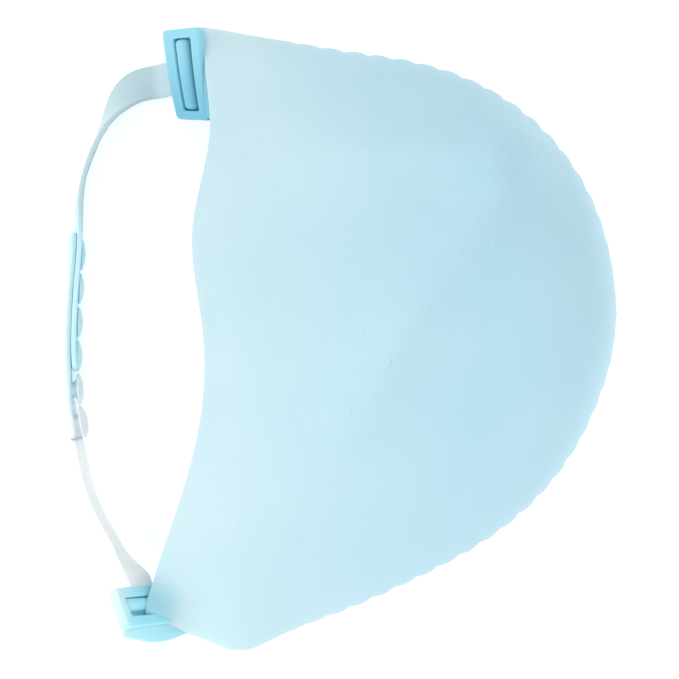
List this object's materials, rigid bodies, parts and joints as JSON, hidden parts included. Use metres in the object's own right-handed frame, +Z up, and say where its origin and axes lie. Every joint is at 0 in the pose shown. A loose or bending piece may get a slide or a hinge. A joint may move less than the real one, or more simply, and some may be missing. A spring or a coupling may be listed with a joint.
{
  "type": "hair highlighting cap",
  "caption": "Soft translucent silicone highlighting cap: a half-dome with a beaded rim, slotted ear frames and a two-part chin strap that buttons with studs through holes.",
  "frame": {"origin": "centre of the bounding box's bottom face, on the table that the cap lies on", "axes": "+Z up; +X from the head opening to the crown; +Y towards the ear whose strap half has the holes. The cap lies flattened on its rear wall."},
  "size_m": [0.2208, 0.2509, 0.0586],
  "materials": {
    "cap_silicone": "translucent satin silicone",
    "frame_silicone": "translucent satin silicone, thick",
    "strap_silicone": "translucent satin silicone"
  },
  "bodies": {
    "cap": {"cap_dome": "cap_silicone", "rim_bead": "cap_silicone", "hole_side_frame": "frame_silicone", "stud_side_frame": "frame_silicone", "hole_side_web": "frame_silicone", "stud_side_web": "frame_silicone", "hole_strap_toggle": "frame_silicone", "stud_strap_toggle": "frame_silicone"},
    "hole_strap": {"hole_strap_band": "strap_silicone", "hole_strap_tail": "strap_silicone"},
    "stud_strap": {"stud_strap_band": "strap_silicone", "stud_6": "strap_silicone"},
    "stud_tail": {"stud_strap_tail": "strap_silicone", "stud_1": "strap_silicone", "stud_2": "strap_silicone", "stud_3": "strap_silicone", "stud_4": "strap_silicone", "stud_5": "strap_silicone"}
  },
  "joints": [
    {"name": "stud_strap_swing", "type": "hinge", "parent": "cap", "child": "stud_strap", "pos_m": [-0.08286, -0.09495, 0.01527], "axis": [0.0569, 0.9972, -0.0485], "range_deg": [-70, 95]},
    {"name": "hole_strap_swing", "type": "hinge", "parent": "cap", "child": "hole_strap", "pos_m": [-0.08286, -0.09495, 0.01527], "axis": [0.0569, 0.9972, -0.0485], "range_deg": [-70, 95]},
    {"name": "strap_unbutton", "type": "hinge", "parent": "stud_strap", "child": "stud_tail", "pos_m": [-0.1089, -0.0272, 0.0073], "axis": [0.0698, 0, 0.9976], "range_deg": [0, 50], "deforming": ["hole_strap_tail"]}
  ],
  "couplings": [
    {"joint": "hole_strap_swing", "follows": "stud_strap_swing", "ratio": 1}
  ]
}
